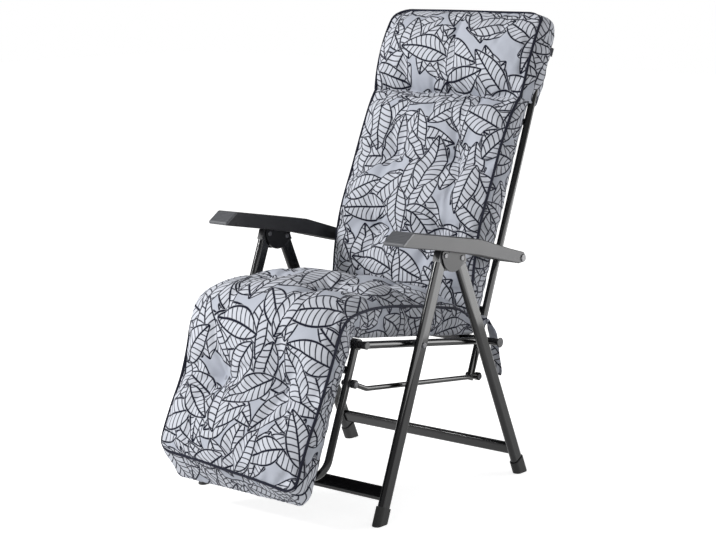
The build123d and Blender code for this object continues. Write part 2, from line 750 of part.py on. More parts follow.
# Textile panels: a flat sheet on the front of two cross tubes, hemmed round each
def sling(p, q, face):
    """p and q are the middles of the two cross tubes; face points to the padded side."""
    axis = unit(between(p, q))
    low = tube_radius + weld_gap
    corners = [moved(p, face, low), moved(p, face, hem_radius), moved(q, face, hem_radius), moved(q, face, low)]
    sheet = slab(-sling_half_width, sling_half_width, make_face(Polyline(*corners, close=True)))
    for c in (p, q):
        sheet += ring(c, -sling_half_width, sling_half_width, hem_radius, low)
    return single(sheet)


nodes["seat_sling"] = sling(footrest_pivot, back_pivot, seat_face)
nodes["back_sling"] = sling(moved(back_pivot, up_leg, back_lower_bar), moved(back_pivot, up_leg, back_upper_bar),
                            back_face)
# The footrest panel is hemmed round the straight foot of the bent frame, between its bends
foot_sling_half = back_tube_x - footrest_bend_radius - tube_radius
foot_p = moved(footrest_pivot, up_leg, -footrest_upper_bar)
foot_q = moved(footrest_pivot, up_leg, -footrest_length)
foot_low = tube_radius + weld_gap
foot_corners = [moved(foot_p, back_face, foot_low), moved(foot_p, back_face, hem_radius),
                moved(foot_q, back_face, hem_radius), moved(foot_q, back_face, foot_low)]
foot_sheet = slab(-foot_sling_half, foot_sling_half, make_face(Polyline(*foot_corners, close=True)))
for c in (foot_p, foot_q):
    foot_sheet += ring(c, -foot_sling_half, foot_sling_half, hem_radius, foot_low)
nodes["footrest_sling"] = single(foot_sheet)


# Cushion pads: lofted through sections, each with a flat base, drawn sides and a crowned face
def pad_section(base, face, half_width, edge, crown):
    """base is the point under the pad, face the direction of its thickness, edge and crown are heights above it."""
    plane = Plane(origin=(0, base[0], base[1]), x_dir=(1, 0, 0), z_dir=(0, -face[1], face[0]))
    top = half_width - pad_side_bulge
    foot = half_width - 2 * pad_side_bulge
    lines = [Line((-foot, 0), (foot, 0)),
             ThreePointArc((foot, 0), (half_width, edge / 2), (top, edge)),
             ThreePointArc((top, edge), (0, crown), (-top, edge)),
             ThreePointArc((-top, edge), (-half_width, edge / 2), (-foot, 0))]
    return plane * make_face(Curve() + lines)


def pad_on(pivot, axis, face, rows):
    """rows: distance along the axis, base height, edge height, half width and crown, all from the tube line."""
    sections = []
    for along, base, edge, half_width, crown in rows:
        p = local(pivot, axis, face, along, base)
        sections.append(pad_section(p, face, half_width, edge - base, edge - base + crown))
    return sections


def end_section(pivot, start, edge, half_width, crown, shift):
    """A section on the plane that halves the angle between two pads, moved off it by a small play."""
    away = (-bisector[1], bisector[0])
    p = moved(moved(pivot, bisector, start), away, shift)
    return pad_section(p, bisector, half_width, edge - start, edge - start + crown)


def dimple(pivot, axis, face, along, height):
    """A sewn tuft: a round hollow on each side of the middle."""
    p = local(pivot, axis, face, along, height + tuft_radius - tuft_depth)
    ball = Pos(tuft_spacing / 2, p[0], p[1]) * Sphere(tuft_radius)
    return ball + mirrored(ball)


mid_width = pad_half_width - pad_waist
bisector_tilt = math.atan2(bisector[1], bisector[0]) - math.atan2(seat_face[1], seat_face[0])
end_start = (collar_radius + pad_play) / math.cos(bisector_tilt)
down_leg = (-up_leg[0], -up_leg[1])
pivot_groove = collar_radius + pad_play


def groove(pivot):
    return rod(pivot, -leg_spacing, leg_spacing, pivot_groove)


def beyond(pivot, side):
    """The room on one side of the plane that halves the angle between two pads."""
    away = (-bisector[1] * side, bisector[0] * side)
    far = leg_spacing
    low = moved(moved(pivot, bisector, -far), away, -pad_play / 2)
    high = moved(moved(pivot, bisector, far), away, -pad_play / 2)
    corners = [low, high, moved(high, away, far), moved(low, away, far)]
    return slab(-leg_spacing, leg_spacing, make_face(Polyline(*corners, close=True)))


def padded(sections, tufts, pivots, rooms):
    """A loft through the sections, less the tuft hollows and the room for the pivots and the next pads."""
    pad = loft(sections)
    for r in rooms:
        pad -= r
    for t in tufts:
        pad -= t
    for p in pivots:
        pad -= groove(p)
    return single(pad)


# Seat pad, from the knee to the crease at the back
knee_seat = end_section(footrest_pivot, end_start, knee_edge, pad_half_width, knee_crown, pad_play / 2)
crease_seat = end_section(back_pivot, end_start, crease_edge, pad_half_width, crease_crown, -pad_play / 2)
seat_rows = [(seat_length * seat_brow_share, pad_base, seat_brow_edge, pad_half_width,
              seat_crown * seat_brow_crown_share),
             (seat_length * seat_front_share, pad_base, seat_front_edge, mid_width, seat_crown),
             (seat_length * seat_middle_share, pad_base, seat_middle_edge, mid_width, seat_crown),
             (seat_length * seat_hollow_share, pad_base, seat_hollow_edge, mid_width, seat_crown),
             (seat_length * seat_rear_share, pad_base, seat_rear_edge, pad_half_width, seat_crown / 2)]
seat_sections = [knee_seat] + pad_on(footrest_pivot, along_seat, seat_face, seat_rows) + [crease_seat]
seat_tufts = [dimple(footrest_pivot, along_seat, seat_face, seat_length * share,
                     seat_front_edge + seat_crown * tuft_crown_share) for share in seat_tuft_shares]
nodes["cushion_seat"] = padded(seat_sections, seat_tufts, (footrest_pivot, back_pivot),
                               (beyond(footrest_pivot, 1), beyond(back_pivot, -1)))

# Back pad, from the crease to the neck
crease_back = end_section(back_pivot, end_start, crease_edge, pad_half_width, crease_crown, pad_play / 2)
back_pad_end = back_frame_length * back_pad_share
back_rows = [(back_pad_end * back_low_share, pad_base, back_low_edge, mid_width, back_crown),
             (back_pad_end * back_lumbar_share, pad_base, back_lumbar_edge, mid_width, back_crown),
             (back_pad_end * back_middle_share, pad_base, back_middle_edge, mid_width, back_crown),
             (back_pad_end * back_shoulder_share, pad_base, back_shoulder_edge, mid_width, back_crown),
             (back_pad_end * back_neck_share, pad_base, back_neck_edge, pad_half_width, back_crown / 2),
             (back_pad_end, pad_base, head_crease_edge, pad_half_width, head_crease_crown)]
back_sections = [crease_back] + pad_on(back_pivot, up_leg, back_face, back_rows)
back_tuft_heights = (back_low_edge + back_crown + tuft_depth / 2, back_middle_edge + back_crown)
back_tufts = [dimple(back_pivot, up_leg, back_face, back_pad_end * share, height)
              for share, height in zip(back_tuft_shares, back_tuft_heights)]
nodes["cushion_back"] = padded(back_sections, back_tufts, (back_pivot,), (beyond(back_pivot, 1),))

# Head pad: a hood that slips over the top of the back frame
head_start = back_pad_end + pad_play
head_end = back_frame_length + head_overhang
head_length = head_end - back_pad_end
head_rows = [(head_start, -head_rear, head_crease_edge, head_half_width, head_crease_crown),
             (back_pad_end + head_length * head_cheek_share, -head_rear, head_cheek_edge, head_half_width,
              head_crown),
             (back_pad_end + head_length * head_face_share, -head_rear, head_face_edge, head_half_width,
              head_crown),
             (back_pad_end + head_length * head_brow_share, -head_rear, head_brow_edge, head_half_width,
              head_crown),
             (head_end, -head_end_rear, head_end_edge, head_half_width - head_end_inset, head_crown / 2)]
hood = loft(pad_on(back_pivot, up_leg, back_face, head_rows))
pocket_half = back_outer_x + pad_play
pocket_deep = tube_radius + pad_play
pocket_start = back_pad_end - tube_diameter
pocket_end = back_frame_length + tube_radius + pad_play
pocket = [local(back_pivot, up_leg, back_face, pocket_start, pocket_deep),
          local(back_pivot, up_leg, back_face, pocket_end, pocket_deep),
          local(back_pivot, up_leg, back_face, pocket_end, -pocket_deep),
          local(back_pivot, up_leg, back_face, pocket_start, -pocket_deep)]
nodes["cushion_head"] = single(hood - slab(-pocket_half, pocket_half, make_face(Polyline(*pocket, close=True))))

# Foot pad, from the knee down the footrest
knee_foot = end_section(footrest_pivot, end_start, knee_edge, pad_half_width, knee_crown, -pad_play / 2)
foot_end = footrest_length + foot_overhang
foot_rows = [(foot_end * foot_upper_share, pad_base, foot_upper_edge, mid_width, foot_crown),
             (foot_end * foot_waist_share, pad_base, foot_waist_edge, foot_half_width, foot_crown),
             (foot_end * foot_lower_share, pad_base, foot_lower_edge, foot_half_width, foot_crown),
             (foot_end * foot_toe_share, pad_base, foot_toe_edge, foot_half_width, foot_crown),
             (foot_end, pad_base, foot_end_edge, foot_half_width, foot_crown / 2)]
foot_sections = [knee_foot] + pad_on(footrest_pivot, down_leg, back_face, foot_rows)
foot_hollow = dimple(footrest_pivot, down_leg, back_face, foot_end * foot_tuft_share,
                     foot_waist_edge + foot_crown + tuft_depth / 2)
nodes["cushion_foot"] = padded(foot_sections, (foot_hollow,), (footrest_pivot,), (beyond(footrest_pivot, -1),))

# The plain tag in the hood's seam and the tie that hangs from the back frame's side tube
tag_x = head_half_width - tag_inset
tag_place = back_pad_end + head_length * head_face_share
tag_root = -head_rear + tag_width / 2
tag = [local(back_pivot, up_leg, back_face, tag_place, tag_root),
       local(back_pivot, up_leg, back_face, tag_place, -head_rear - tag_width),
       local(back_pivot, up_leg, back_face, tag_place + tag_height, -head_rear - tag_width),
       local(back_pivot, up_leg, back_face, tag_place + tag_height, tag_root)]
tag_sheet = slab(tag_x, tag_x + tag_thickness, make_face(Polyline(*tag, close=True))) - hood
nodes["cushion_tag"] = tag_sheet.solids().sort_by(Axis.Y)[-1]
tie_radius = tube_radius + weld_gap + tie_thickness
tie = round_bar(back_pivot, up_leg, back_tube_x, tie_height, tie_height + tie_width, tie_radius)
tie -= round_bar(back_pivot, up_leg, back_tube_x, tie_height - cut_over, tie_height + tie_width + cut_over,
                 tube_radius + weld_gap)
tie_top = moved(back_pivot, up_leg, tie_height + tie_width / 2)
tie_x = back_tube_x + tie_radius - tie_thickness + tie_width / 2
hang = Pos(tie_x, tie_top[0], tie_top[1]) * Rot(tie_lean, 0, 0) * Pos(0, 0, -tie_drop / 2)
lobe = hang * Box(tie_width, tie_lobe_thickness, tie_drop)
lobe_ends = lobe.edges().sort_by(Axis.Z)
lobe_corners = [e for e in lobe_ends if abs(e.length - tie_lobe_thickness) < bore_play][:2]
lobe = fillet(lobe_corners, tie_width * tie_round_share)
nodes["cushion_tie"] = single(tie + lobe)

# The origin: the middle of the bounding box, on the floor
everything = Compound(children=[s for shape in nodes.values() for s in shape.solids()])
box = everything.bounding_box()
shift = (0.0, -(box.min.Y + box.max.Y) / 2, -box.min.Z)

os.makedirs("parts", exist_ok=True)
for name, shape in nodes.items():
    solids = [Pos(*shift) * s for s in shape.solids()]
    piece = solids[0] if len(solids) == 1 else Compound(children=solids)
    export_step(piece, "parts/" + name + ".step")
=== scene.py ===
import json
import math

import bmesh
import bpy
from mathutils import Matrix, Vector, noise


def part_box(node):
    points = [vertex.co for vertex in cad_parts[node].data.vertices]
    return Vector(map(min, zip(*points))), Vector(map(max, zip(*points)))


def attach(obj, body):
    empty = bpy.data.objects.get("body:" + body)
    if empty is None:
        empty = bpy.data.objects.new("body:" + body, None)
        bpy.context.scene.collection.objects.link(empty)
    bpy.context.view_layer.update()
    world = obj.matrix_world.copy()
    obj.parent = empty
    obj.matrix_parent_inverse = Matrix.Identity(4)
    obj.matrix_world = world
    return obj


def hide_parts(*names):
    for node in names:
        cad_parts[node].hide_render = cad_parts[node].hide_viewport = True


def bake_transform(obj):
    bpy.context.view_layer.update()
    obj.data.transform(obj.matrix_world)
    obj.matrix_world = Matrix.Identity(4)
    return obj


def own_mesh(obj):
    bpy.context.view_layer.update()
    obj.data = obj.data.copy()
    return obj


# A reclining garden armchair: a black tube frame with a one-piece padded cushion in a leaf print.
# Lengths are in metres. The chair faces -Y, and +X is its left side as a sitter sees it.

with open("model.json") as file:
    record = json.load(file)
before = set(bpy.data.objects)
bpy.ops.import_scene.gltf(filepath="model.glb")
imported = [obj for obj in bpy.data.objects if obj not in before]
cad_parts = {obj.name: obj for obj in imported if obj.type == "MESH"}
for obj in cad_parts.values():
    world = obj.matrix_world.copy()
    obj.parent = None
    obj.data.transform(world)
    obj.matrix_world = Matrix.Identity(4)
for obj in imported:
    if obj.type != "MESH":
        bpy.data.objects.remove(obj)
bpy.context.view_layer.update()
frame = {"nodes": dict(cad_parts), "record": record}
scene = bpy.context.scene


# The frame in its side plane, as (y, z). Each way is a unit vector.
seat_front_joint = Vector((-0.2950, 0.4241))
seat_rear_joint = Vector((0.1868, 0.3564))
up_back = Vector((0.3600, 0.9330))
off_back = Vector((-0.9330, 0.3600))
along_seat = Vector((0.9903, -0.1392))
off_seat = Vector((0.1392, 0.9903))
corner_way = Vector((-0.5068, 0.8621))
down_leg = -up_back
frame_skin = 0.0110      # from the tubes' middle line to the cushion's underside
corner_skin = 0.0150     # the same over the two corners


def on_seat(along, off):
    return seat_front_joint + along_seat * along + off_seat * off


def on_back(along, off):
    return seat_rear_joint + up_back * along + off_back * off


def on_leg(along, off):
    return seat_front_joint + down_leg * along + off_back * off


# Smooth shapes through stops
def through(stops):
    """A smooth run of values through the stops, each a place and a tuple of values, and the last place."""
    places = [s[0] for s in stops]
    values = [s[1] for s in stops]
    last = len(stops) - 1

    def slope(i, k):
        if i == 0 or i == last:
            j = max(i, 1)
            return (values[j][k] - values[j - 1][k]) / (places[j] - places[j - 1])
        before = places[i] - places[i - 1]
        after = places[i + 1] - places[i]
        left = (values[i][k] - values[i - 1][k]) / before
        right = (values[i + 1][k] - values[i][k]) / after
        return (left * after + right * before) / (before + after)

    def at(t):
        t = min(max(t, places[0]), places[last])
        i = 0
        while i < last - 1 and t > places[i + 1]:
            i += 1
        h = places[i + 1] - places[i]
        u = (t - places[i]) / h
        out = []
        for k in range(len(values[0])):
            p, q = values[i][k], values[i + 1][k]
            m, n = slope(i, k) * h, slope(i + 1, k) * h
            out.append((2 * u**3 - 3 * u**2 + 1) * p + (u**3 - 2 * u**2 + u) * m
                       + (3 * u**2 - 2 * u**3) * q + (u**3 - u**2) * n)
        return out

    return at, places[last]


def pad_run(sections):
    """sections: base point, seam point, half width and crown, placed by their distance along the seam."""
    stops = []
    place = 0.0
    for i, (base, seam, half, crown) in enumerate(sections):
        if i:
            place += (seam - sections[i - 1][1]).length
        stops.append((place, (base.x, base.y, seam.x, seam.y, half, crown)))
    return through(stops)


# The cushion's sections: from the fold at the back of the seat to the foot end, up the back, and the hood.
# Each has its place along the frame, the height of its seams, its half width and its crown.
def section(place, along, edge, half, crown):
    return place(along, frame_skin), place(along, edge), half, crown


def head_section(along, rear, edge, half, crown):
    return on_back(along, rear), on_back(along, edge), half, crown


def corner_section(joint, edge, half, crown):
    return joint + corner_way * corner_skin, joint + corner_way * edge, half, crown


seat_and_leg = [
    corner_section(seat_rear_joint, 0.074, 0.224, 0.014),
    section(on_seat, 0.400, 0.073, 0.228, 0.018),
    section(on_seat, 0.315, 0.080, 0.226, 0.032),
    section(on_seat, 0.210, 0.084, 0.226, 0.036),
    section(on_seat, 0.095, 0.083, 0.226, 0.044),
    section(on_seat, 0.030, 0.076, 0.228, 0.040),
    corner_section(seat_front_joint, 0.066, 0.230, 0.032),
    section(on_leg, 0.030, 0.064, 0.230, 0.026),
    section(on_leg, 0.075, 0.062, 0.226, 0.016),
    section(on_leg, 0.155, 0.063, 0.221, 0.008),
    section(on_leg, 0.240, 0.074, 0.220, 0.014),
    section(on_leg, 0.310, 0.078, 0.220, 0.014),
    (on_leg(0.386, frame_skin), on_leg(0.345, 0.076), 0.219, 0.006),
]
back = [
    corner_section(seat_rear_joint, 0.074, 0.224, 0.012),
    section(on_back, 0.097, 0.064, 0.225, 0.028),
    section(on_back, 0.166, 0.081, 0.226, 0.018),
    section(on_back, 0.255, 0.094, 0.226, 0.010),
    section(on_back, 0.390, 0.088, 0.226, 0.012),
    section(on_back, 0.505, 0.081, 0.227, 0.014),
    section(on_back, 0.575, 0.070, 0.230, 0.012),
    section(on_back, 0.606, 0.060, 0.232, 0.000),
]
head = [
    head_section(0.606, -0.022, 0.060, 0.234, 0.000),
    head_section(0.640, -0.024, 0.063, 0.238, 0.012),
    head_section(0.700, -0.024, 0.066, 0.240, 0.016),
    head_section(0.770, -0.024, 0.060, 0.240, 0.014),
    head_section(0.812, -0.022, 0.050, 0.238, 0.008),
    (on_back(0.839, -0.012), on_back(0.832, 0.040), 0.234, 0.002),
]

# How the pads are drawn
cell = 0.0085            # cells of the mesh
seam_gap = 0.130         # how far the print on the sides is cut from the print on the face
side_print = 0.075       # height of the print on the sides
end_print = 0.100
edge_pull = 0.005        # how far the seams stand in from the sides' middle height
base_pull = 0.003
gather_depth = 0.0030    # gathers of the sides
tuft_depth = 0.024
tuft_reach = 0.024
pucker_height = 0.0040   # small folds that run out from a tuft
pucker_ring = 0.030
pucker_breadth = 0.022
knot_reach = 0.0085
fold_height = 0.0040     # loose folds of the face

# How the pads are filled
puff_frames = 20
puff_reach = 0.020
spare_cloth = 0.06
air_pressure = 4.0
piping_radius = 0.0036


def blank(across, along, deep):
    """A closed box from 0 to 1 each way, cut into square cells."""
    bm = bmesh.new()
    bmesh.ops.create_cube(bm, size=1.0, matrix=Matrix.Translation((0.5, 0.5, 0.5)))
    for axis, count in ((0, across), (1, along), (2, deep)):
        edges = [e for e in bm.edges if abs((e.verts[0].co - e.verts[1].co)[axis]) > 0.5]
        bmesh.ops.subdivide_edges(bm, edges=edges, cuts=count - 1, use_grid_fill=True)
    return bm


def lay_print(bm, widest, length):
    """Places the print in metres of cloth: the face, the sides beside it, the ends and the underside."""
    uv = bm.loops.layers.uv.new("cloth")
    for face in bm.faces:
        way = face.normal
        for loop in face.loops:
            a, b, c = loop.vert.co
            across = (2 * a - 1) * widest
            if abs(way.z) > 0.5:
                spot = (across, b * length) if way.z > 0 else (across, b * length + 3 * seam_gap)
            elif abs(way.x) > 0.5:
                spot = (math.copysign(widest + seam_gap + c * side_print, way.x), b * length)
            else:
                spot = (across, b * length + math.copysign(end_print - c * side_print, way.y))
            loop[uv].uv = spot


def draw_pad(name, sections, tufts, valleys, round_end, askew, deep_cells):
    """A pad through its sections. tufts: across and along; valleys: along, depth and breadth.
    round_end is the radius of its end's corners, and askew how far that end is turned."""
    run, length = pad_run(sections)
    widest = max(s[2] for s in sections)
    bm = blank(round(2 * widest / cell), round(length / cell), deep_cells)
    lay_print(bm, widest, length)
    hold = bm.verts.layers.deform.new()
    seam = {}
    knots = {}
    for v in bm.verts:
        a, b, c = v.co
        a = 2 * a - 1
        t = b * length
        base_y, base_z, seam_y, seam_z, half, crown = run(t)
        turn = 0.0
        if round_end and length - t < round_end:
            gone = round_end - (length - t)
            turn = round_end - math.sqrt(max(round_end**2 - gone**2, 0.0))
        out = Vector((seam_y - base_y, seam_z - base_z))
        deep = out.length
        out.normalize()
        belly = 4 * c * (1 - c)
        side = half - turn - edge_pull * (1 - belly) - base_pull * (1 - c)
        side += gather_depth * noise.noise(Vector((t * 42, c * 5, a * 3))) * belly
        x = a * side
        lift = c * deep + c * crown * (1 - abs(a) ** 3.4)
        held = 0.0
        if c < 0.01:
            held = 1.0
        if c > 0.99:
            for place, depth, breadth in valleys:
                lift -= depth * math.exp(-((t - place) / breadth) ** 2) * (1 - abs(a) ** 6)
            for where, place in tufts:
                far = math.hypot(x - where, t - place)
                lift -= tuft_depth * math.exp(-(far / tuft_reach) ** 1.3)
                angle = math.atan2(t - place, x - where)
                ring = math.exp(-((far - pucker_ring) / pucker_breadth) ** 2)
                lift += pucker_height * math.cos(7 * angle + 40 * where) * ring
                if far < knot_reach:
                    held = 1.0
                    knots.setdefault((where, place), []).append(v)
            fold = noise.noise(Vector((x * 8, t * 17, length * 7)))
            lift += fold_height * fold * (1 - abs(a) ** 8)
        if c > 0.99 and abs(a) > 0.99:
            held = 1.0
            seam[("left" if a > 0 else "right", round(b * 1000000))] = v
        elif c > 0.99 and (b < 0.0001 or b > 0.9999):
            held = 1.0
            seam[("start" if b < 0.5 else "end", round(a * 1000000))] = v
        elif b < 0.0001 or b > 0.9999:
            held = max(held, 0.85)
        v[hold][0] = held
        drop = askew * a * b**3 * c
        v.co = (x, base_y + out.x * lift + down_leg.x * drop,
                base_z + out.y * lift + down_leg.y * drop)
    lines = {}
    for (side_name, place), v in sorted(seam.items()):
        lines.setdefault(side_name, []).append(v)
    bm.verts.index_update()
    paths = {key: [v.index for v in line] for key, line in lines.items()}
    knot_points = {key: [v.index for v in vs] for key, vs in knots.items()}
    if bm.calc_volume(signed=True) < 0:
        bmesh.ops.reverse_faces(bm, faces=bm.faces[:])
    mesh = bpy.data.meshes.new(name)
    bm.to_mesh(mesh)
    bm.free()
    obj = bpy.data.objects.new(name, mesh)
    scene.collection.objects.link(obj)
    obj.vertex_groups.new(name="held")
    return obj, paths, knot_points


def puff(obj):
    """Fills the pad with air under its cloth, and keeps every point near where it was drawn."""
    mesh = obj.data
    start = [v.co.copy() for v in mesh.vertices]
    cloth = obj.modifiers.new("Cloth", "CLOTH")
    cloth.settings.quality = 5
    cloth.settings.mass = 0.25
    cloth.settings.tension_stiffness = 12
    cloth.settings.compression_stiffness = 10
    cloth.settings.shear_stiffness = 3
    cloth.settings.bending_stiffness = 0.4
    cloth.settings.use_pressure = True
    cloth.settings.uniform_pressure_force = air_pressure
    cloth.settings.shrink_min = -spare_cloth
    cloth.settings.vertex_group_mass = "held"
    cloth.settings.effector_weights.gravity = 0
    cloth.collision_settings.use_collision = False
    cloth.point_cache.frame_start = 1
    cloth.point_cache.frame_end = puff_frames
    for step in range(1, puff_frames + 1):
        scene.frame_set(step)
    shaped = obj.evaluated_get(bpy.context.evaluated_depsgraph_get())
    found = [v.co.copy() for v in shaped.data.vertices]
    obj.modifiers.clear()
    scene.frame_set(1)
    for v, old, new in zip(mesh.vertices, start, found):
        move = new - old
        if move.length > puff_reach:
            move *= puff_reach / move.length
        v.co = old + move
    mesh.update()


def refine(obj):
    """One round of subdivision, written into the mesh."""
    sub = obj.modifiers.new("Subdivision", "SUBSURF")
    sub.levels = 1
    sub.render_levels = 1
    shaped = obj.evaluated_get(bpy.context.evaluated_depsgraph_get())
    mesh = bpy.data.meshes.new_from_object(shaped, preserve_all_data_layers=True,
                                           depsgraph=bpy.context.evaluated_depsgraph_get())
    obj.modifiers.clear()
    old = obj.data
    obj.data = mesh
    bpy.data.meshes.remove(old)


def tube_mesh(points, radius):
    """A round cord along the points, as a mesh."""
    curve = bpy.data.curves.new("cord_line", "CURVE")
    curve.dimensions = "3D"
    curve.bevel_depth = radius
    curve.bevel_resolution = 2
    curve.use_fill_caps = True
    line = curve.splines.new("POLY")
    line.points.add(len(points) - 1)
    for spot, p in zip(line.points, points):
        spot.co = (p.x, p.y, p.z, 1.0)
    holder = bpy.data.objects.new("cord_line", curve)
    mesh = bpy.data.meshes.new_from_object(holder)
    bpy.data.objects.remove(holder)
    bpy.data.curves.remove(curve)
    return mesh


def evened(points):
    """The points of a line, smoothed twice between its ends."""
    for _ in range(2):
        points = [points[0]] + [(points[i - 1] + points[i] * 2 + points[i + 1]) / 4
                                for i in range(1, len(points) - 1)] + [points[-1]]
    return points


def sew_piping(obj, lines):
    """Adds round piping along each line of points, in the pad's second material."""
    bm = bmesh.new()
    bm.from_mesh(obj.data)
    for points in lines:
        before = len(bm.faces)
        cord = tube_mesh(points, piping_radius)
        bm.from_mesh(cord)
        bm.faces.ensure_lookup_table()
        for face in bm.faces[before:]:
            face.material_index = 1
            face.smooth = True
        bpy.data.meshes.remove(cord)
    bm.to_mesh(obj.data)
    bm.free()


def sew_knots(obj, spots):
    """A short bar of thread at each tuft, in the pad's third material."""
    bar = Matrix.Diagonal((1.7, 0.8, 0.6, 1.0))
    bm = bmesh.new()
    bm.from_mesh(obj.data)
    for p, turn in spots:
        before = len(bm.faces)
        bmesh.ops.create_uvsphere(bm, u_segments=12, v_segments=8, radius=0.0042,
                                  matrix=Matrix.Translation(p) @ turn @ bar)
        bm.faces.ensure_lookup_table()
        for face in bm.faces[before:]:
            face.material_index = 2
            face.smooth = True
    bm.to_mesh(obj.data)
    bm.free()


def make_pad(name, sections, tufts, valleys, piping, round_end=0.0, askew=0.0, deep_cells=9):
    """A filled pad with its piping and tufts.
    piping: lists of seam sides that one cord follows, each with True where it runs backwards."""
    obj, paths, knots = draw_pad(name, sections, tufts, valleys, round_end, askew, deep_cells)
    puff(obj)
    lines = []
    for sides in piping:
        points = []
        for side_name, backwards in sides:
            run = [obj.data.vertices[i].co.copy() for i in paths[side_name]]
            points += run[::-1] if backwards else run
        lines.append(evened(points))
    spots = []
    for indices in knots.values():
        middle = sum((obj.data.vertices[i].co for i in indices), Vector()) / len(indices)
        way = sum((obj.data.vertices[i].normal for i in indices), Vector()).normalized()
        spots.append((middle + way * 0.002, way.to_track_quat("Z", "X").to_matrix().to_4x4()))
    refine(obj)
    sew_piping(obj, lines)
    sew_knots(obj, spots)
    for poly in obj.data.polygons:
        poly.use_smooth = True
    return obj


def cut_from(obj, name, planes):
    """A closed copy of the part of obj that lies on the far side of each plane, a point and a direction."""
    bm = bmesh.new()
    bm.from_mesh(obj.data)
    for point, way in planes:
        geom = bm.verts[:] + bm.edges[:] + bm.faces[:]
        done = bmesh.ops.bisect_plane(bm, geom=geom, dist=1e-7, plane_co=point, plane_no=way,
                                      clear_inner=True)
        rim = [e for e in done["geom_cut"] if isinstance(e, bmesh.types.BMEdge)]
        filled = bmesh.ops.edgeloop_fill(bm, edges=rim)
        for e in rim:
            e.smooth = False
        for face in filled["faces"]:
            face.smooth = False
    mesh = bpy.data.meshes.new(name)
    bm.to_mesh(mesh)
    bm.free()
    part = bpy.data.objects.new(name, mesh)
    scene.collection.objects.link(part)
    for slot in obj.data.materials:
        mesh.materials.append(slot)
    return part


# Materials: their colours, dark before light
leaf_ground = (0.500, 0.525, 0.590, 1)
leaf_light = (0.640, 0.660, 0.715, 1)
leaf_fleck = (0.360, 0.385, 0.460, 1)
leaf_ink = (0.005, 0.006, 0.018, 1)
piping_tones = (0.006, 0.007, 0.015, 1), (0.018, 0.020, 0.038, 1)
thread_tones = (0.30, 0.31, 0.36, 1), (0.52, 0.54, 0.60, 1)
textile_tones = (0.008, 0.008, 0.009, 1), (0.045, 0.045, 0.05, 1)
white = (1.0, 1.0, 1.0, 1)

vein_pitch = 0.0148
# Layers of leaves, each over the last: pitch of its squares, shift, turn and seed
leaf_layers = [
    (0.142, (0.00, 0.00, 0.0), 0.3, 1.0), (0.146, (0.06, 0.06, 0.0), 1.1, 2.0),
    (0.143, (0.03, 0.085, 0.0), 2.0, 3.0), (0.148, (0.085, 0.03, 0.0), 2.7, 4.0),
    (0.145, (0.05, 0.01, 0.0), 3.5, 5.0), (0.149, (0.10, 0.07, 0.0), 4.2, 6.0),
    (0.144, (0.01, 0.11, 0.0), 5.1, 7.0),
]


def socket_in(group, name, kind, value=None):
    socket = group.interface.new_socket(name=name, in_out="INPUT", socket_type=kind)
    if value is not None:
        socket.default_value = value


def socket_out(group, name, kind):
    group.interface.new_socket(name=name, in_out="OUTPUT", socket_type=kind)


class Board:
    """Places nodes on one node tree."""

    def __init__(self, tree):
        self.tree = tree

    def add(self, kind, inputs=(), **settings):
        node = self.tree.nodes.new(kind)
        for key, value in settings.items():
            setattr(node, key, value)
        for key, value in dict(inputs).items():
            self.feed(node, key, value)
        return node

    def feed(self, node, key, value):
        if isinstance(value, bpy.types.NodeSocket):
            self.tree.links.new(value, node.inputs[key])
        else:
            node.inputs[key].default_value = value

    def math(self, operation, *values, clamp=False):
        node = self.add("ShaderNodeMath", operation=operation, use_clamp=clamp)
        for i, value in enumerate(values):
            self.feed(node, i, value)
        return node.outputs[0]

    def noise(self, place, scale, detail):
        node = self.add("ShaderNodeTexNoise", inputs={"Vector": place, "Scale": scale, "Detail": detail})
        return node.outputs[0]

    def relief(self, height, distance, strength):
        node = self.add("ShaderNodeBump",
                        inputs={"Height": height, "Distance": distance, "Strength": strength})
        return node.outputs[0]

    def mix(self, factor, a, b):
        """The colour from a to b by factor: sockets 6 and 7 of the mix node, and its output 2."""
        node = self.add("ShaderNodeMix", data_type="RGBA")
        self.feed(node, 0, factor)
        self.feed(node, 6, a)
        self.feed(node, 7, b)
        return node.outputs[2]


